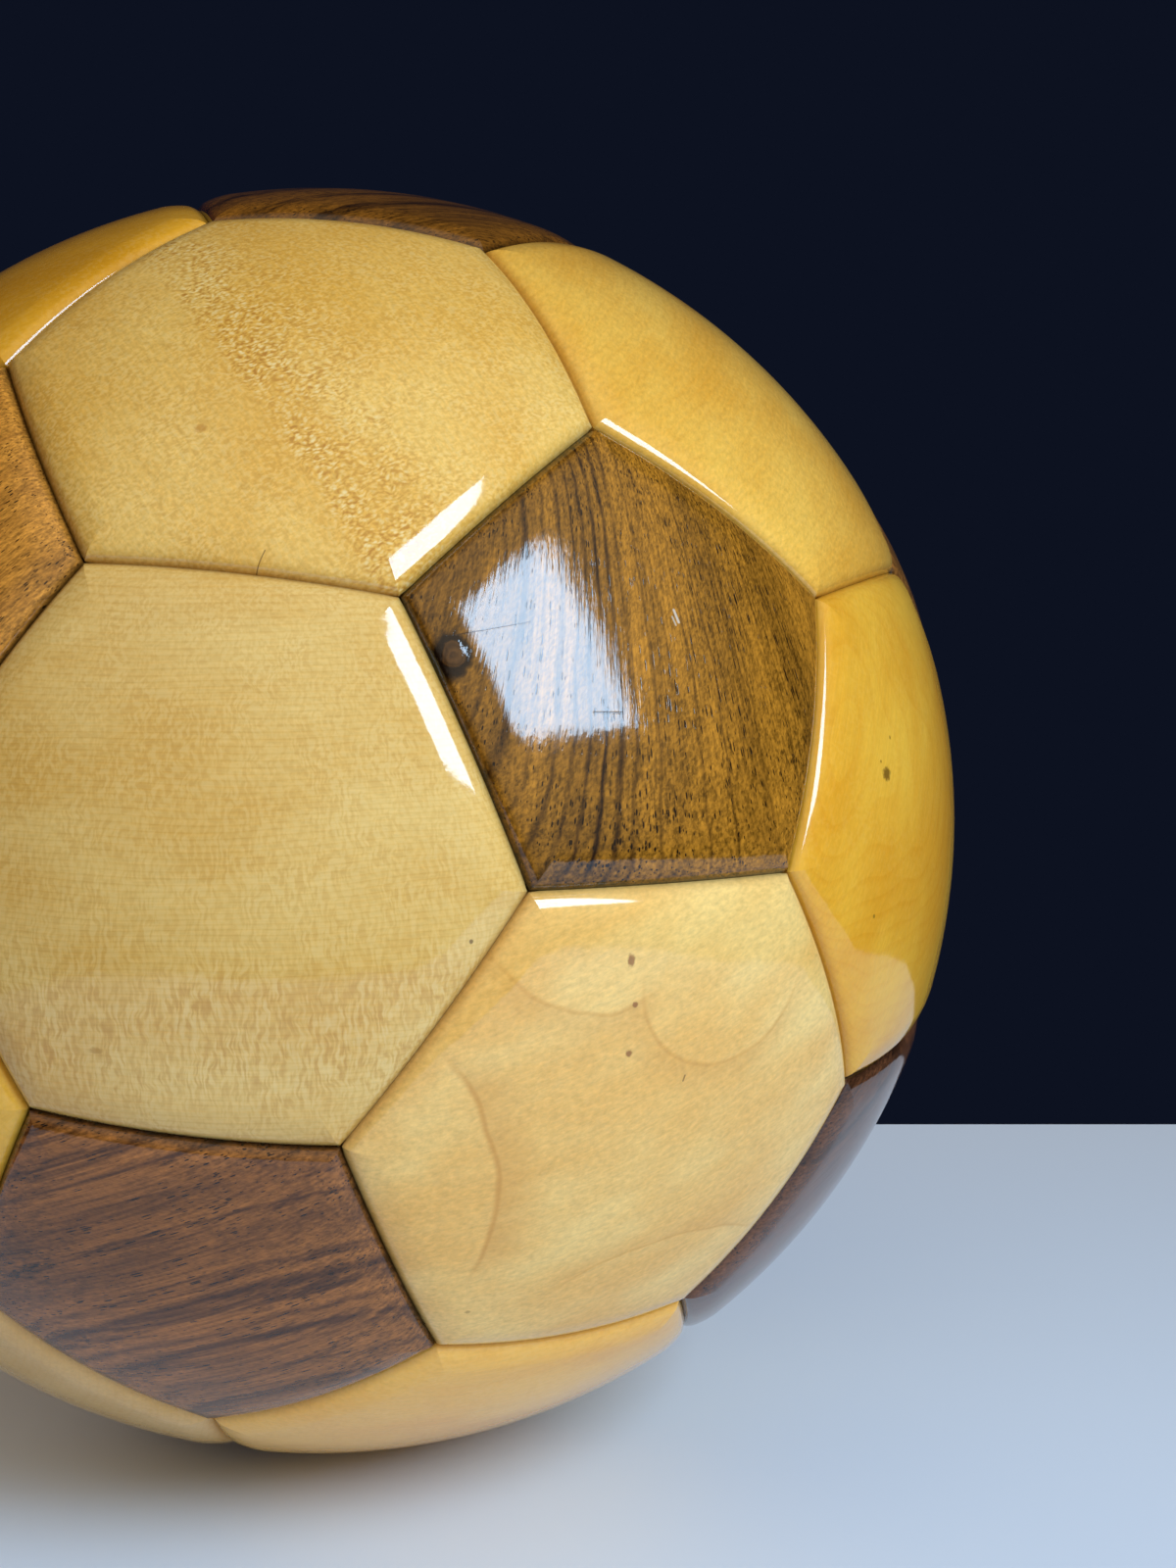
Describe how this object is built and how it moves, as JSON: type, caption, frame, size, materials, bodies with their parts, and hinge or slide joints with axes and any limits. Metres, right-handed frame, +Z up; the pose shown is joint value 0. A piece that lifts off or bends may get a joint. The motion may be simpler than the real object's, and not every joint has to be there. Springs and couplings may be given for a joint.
{
  "type": "wooden football",
  "caption": "Full-size wooden football: mitred walnut pentagons and maple hexagons glued into a hollow ball, crowned to one sphere, with rounded V seams and gloss lacquer, for display.",
  "frame": {"origin": "centre of the ball, where all the mitre planes meet", "axes": "+Z up and +Y away from the viewer as the ball lies in the picture, +X to the viewer's right; the front walnut pentagon looks towards +X, -Y and a little up"},
  "size_m": [0.2198, 0.22, 0.22],
  "materials": {
    "lacquered_walnut": "clear high-gloss lacquer over walnut, dark pores and streaks, each board with its own grain direction",
    "lacquered_maple": "clear high-gloss lacquer over pale maple, fine fleck and faint rings, each board with its own grain direction"
  },
  "bodies": {
    "root": {"walnut_pentagon_01": "lacquered_walnut", "walnut_pentagon_02": "lacquered_walnut", "walnut_pentagon_03": "lacquered_walnut", "walnut_pentagon_04": "lacquered_walnut", "walnut_pentagon_05": "lacquered_walnut", "walnut_pentagon_06": "lacquered_walnut", "walnut_pentagon_07": "lacquered_walnut", "walnut_pentagon_08": "lacquered_walnut", "walnut_pentagon_09": "lacquered_walnut", "walnut_pentagon_10": "lacquered_walnut", "walnut_pentagon_11": "lacquered_walnut", "walnut_pentagon_12": "lacquered_walnut", "maple_hexagon_01": "lacquered_maple", "maple_hexagon_02": "lacquered_maple", "maple_hexagon_03": "lacquered_maple", "maple_hexagon_04": "lacquered_maple", "maple_hexagon_05": "lacquered_maple", "maple_hexagon_06": "lacquered_maple", "maple_hexagon_07": "lacquered_maple", "maple_hexagon_08": "lacquered_maple", "maple_hexagon_09": "lacquered_maple", "maple_hexagon_10": "lacquered_maple", "maple_hexagon_11": "lacquered_maple", "maple_hexagon_12": "lacquered_maple", "maple_hexagon_13": "lacquered_maple", "maple_hexagon_14": "lacquered_maple", "maple_hexagon_15": "lacquered_maple", "maple_hexagon_16": "lacquered_maple", "maple_hexagon_17": "lacquered_maple", "maple_hexagon_18": "lacquered_maple", "maple_hexagon_19": "lacquered_maple", "maple_hexagon_20": "lacquered_maple"}
  },
  "joints": []
}
